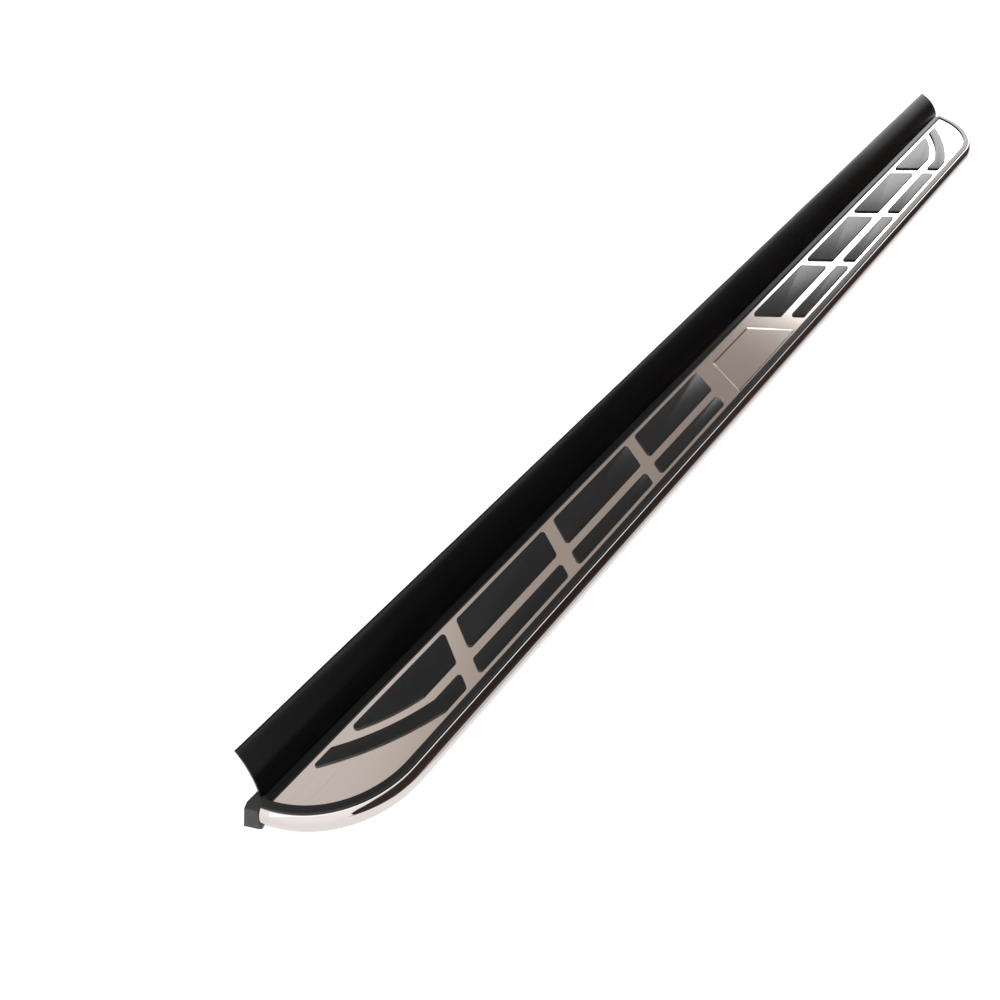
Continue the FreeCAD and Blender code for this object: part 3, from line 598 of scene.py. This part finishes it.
def backdrop():
    """Plain pale dome for the camera alone, so that every angle has the same quiet background."""
    radius, rows, columns = 28, 16, 32
    material, shader = mottled("backdrop", "Emission Color", (0.97, 0.97, 0.968), (1.0, 1.0, 0.998),
                               0.05, rough=0.5, specular=0.0)
    shader.inputs["Base Color"].default_value = (0, 0, 0, 1)
    shader.inputs["Emission Strength"].default_value = 1.0
    vertices = []
    for i in range(rows + 1):
        turn = math.pi * i / rows
        ring_radius = radius * math.sin(turn)
        height = radius * math.cos(turn)
        vertices += [(ring_radius * math.cos(math.tau * j / columns),
                      ring_radius * math.sin(math.tau * j / columns), height) for j in range(columns)]
    faces = []
    for i in range(rows):
        for j in range(columns):
            k = (j + 1) % columns
            faces.append((i * columns + j, i * columns + k, (i + 1) * columns + k, (i + 1) * columns + j))
    staged("backdrop", vertices, faces, material, LIGHT_RAYS)


def ramp(tree, value, stops):
    """Colour picked along a scale; a stop is its place and a grey level or three colour values."""
    node = tree.nodes.new("ShaderNodeValToRGB")
    while len(node.color_ramp.elements) < len(stops):
        node.color_ramp.elements.new(0.5)
    for element, (place, *level) in zip(node.color_ramp.elements, stops):
        element.position = place
        element.color = (*(level * 3 if len(level) == 1 else level), 1)
    tree.links.new(value, node.inputs["Fac"])
    return node.outputs["Color"]


def studio_world():
    """The room that the board reflects, by direction: X along the board, Y behind it, Z up."""
    world = bpy.data.worlds.new("studio")
    bpy.context.scene.world = world
    world.use_nodes = True
    tree = world.node_tree
    tree.nodes.clear()
    out = tree.nodes.new("ShaderNodeOutputWorld")
    background = tree.nodes.new("ShaderNodeBackground")
    coords = tree.nodes.new("ShaderNodeTexCoord")
    split = tree.nodes.new("ShaderNodeSeparateXYZ")
    tree.links.new(coords.outputs["Generated"], split.inputs["Vector"])
    along, behind, above = split.outputs["X"], split.outputs["Y"], split.outputs["Z"]

    # Behind the board the room is dim and grows lighter upwards. In front it is dark, except
    # beyond the board's near end, where it is light on both sides.
    slanted = maths(tree, "MULTIPLY", maths(tree, "MULTIPLY_ADD", behind, 1.7, above), 0.5)
    rear_wall = ramp(tree, slanted, [(0.0, 0.04), (0.55, 0.060), (0.62, 0.070), (0.69, 0.082),
                                     (0.72, 0.085), (0.755, 0.095), (0.79, 0.135), (0.90, 0.16)])
    front_wall = ramp(tree, along, [(0.0, 0.27), (0.10, 0.24), (0.34, 0.018), (1.0, 0.018)])
    blend = remap(tree, behind, 0.0, 1.0, -0.10, 0.04)
    rear_part = maths(tree, "MULTIPLY", rear_wall, blend)
    front_part = maths(tree, "MULTIPLY", front_wall, maths(tree, "SUBTRACT", 1.0, blend))
    walls = maths(tree, "ADD", rear_part, front_part)
    near_wall = remap(tree, along, 0.34, 0.0, -0.30, -0.06)

    # A slim bright bar hangs overhead along the board, and the far wall is a bright window.
    lean = maths(tree, "DIVIDE", behind, maths(tree, "MAXIMUM", above, 0.02))
    bar = ramp(tree, remap(tree, lean, 0.0, 1.0, -0.5, 0.5),
               [(0.0, 0.0), (0.14, 0.0), (0.22, 0.50), (0.60, 0.50), (0.67, 0.0)])
    far = maths(tree, "MULTIPLY_ADD", behind, 0.23, along)
    window = ramp(tree, far, [(0.0, 0.0), (0.838, 0.0), (0.849, 0.15), (0.860, 0.5), (0.872, 0.9),
                              (0.885, 1.0)])
    window = maths(tree, "MULTIPLY", window, remap(tree, above, 0.3, 1.0, 0.14, 0.30))

    level = maths(tree, "MAXIMUM", maths(tree, "MAXIMUM", walls, near_wall),
                  maths(tree, "MAXIMUM", bar, window))
    warmed = ramp(tree, level, [(0.0, 0.0), (0.09, 0.094, 0.084, 0.076), (0.20, 0.203, 0.197, 0.193),
                                (1.0, 1.0)])
    tree.links.new(warmed, background.inputs["Color"])
    background.inputs["Strength"].default_value = 4.6
    tree.links.new(background.outputs["Background"], out.inputs["Surface"])


def key_light():
    """Broad soft light from the front, left out of the reflections."""
    place = Vector((0.6, -1.8, 2.4))
    light = bpy.data.lights.new("key_box", "AREA")
    light.shape = "RECTANGLE"
    light.size = 2.6
    light.size_y = 1.8
    light.energy = 22
    lamp = bpy.data.objects.new("key_box", light)
    lamp.location = place
    lamp.rotation_mode = "QUATERNION"
    lamp.rotation_quaternion = (-place).to_track_quat("-Z", "Y")
    bpy.context.scene.collection.objects.link(lamp)
    lamp.visible_camera = False
    lamp.visible_glossy = False


studio_floor()
dark_card()
grey_card()
backdrop()
studio_world()
key_light()
view = bpy.context.scene.view_settings
view.view_transform = "Standard"
view.look = "None"
view.exposure = 0.0


# ---------------------------------------------------------------- camera

def add_camera():
    """Camera in front of the near end. It looks along +Y turned by the azimuth, and down."""
    place = (-1.1360, -0.4647, 0.9223)
    azimuth, down, roll = math.radians(-49.362), math.radians(45.848), math.radians(-3.909)
    ahead = Vector((-math.sin(azimuth) * math.cos(down), math.cos(azimuth) * math.cos(down),
                    -math.sin(down)))
    level_right = ahead.cross(Vector((0, 0, 1))).normalized()
    level_up = level_right.cross(ahead)
    right_way = math.cos(roll) * level_right + math.sin(roll) * level_up
    up_way = -math.sin(roll) * level_right + math.cos(roll) * level_up
    lens = bpy.data.cameras.new("camera")
    lens.sensor_width = 36.0
    lens.lens = 33.179
    lens.clip_start = 0.05
    lens.clip_end = 100.0
    camera = bpy.data.objects.new("camera", lens)
    camera.matrix_world = Matrix((
        (right_way.x, up_way.x, -ahead.x, place[0]),
        (right_way.y, up_way.y, -ahead.y, place[1]),
        (right_way.z, up_way.z, -ahead.z, place[2]),
        (0, 0, 0, 1)))
    bpy.context.scene.collection.objects.link(camera)
    bpy.context.scene.camera = camera


add_camera()
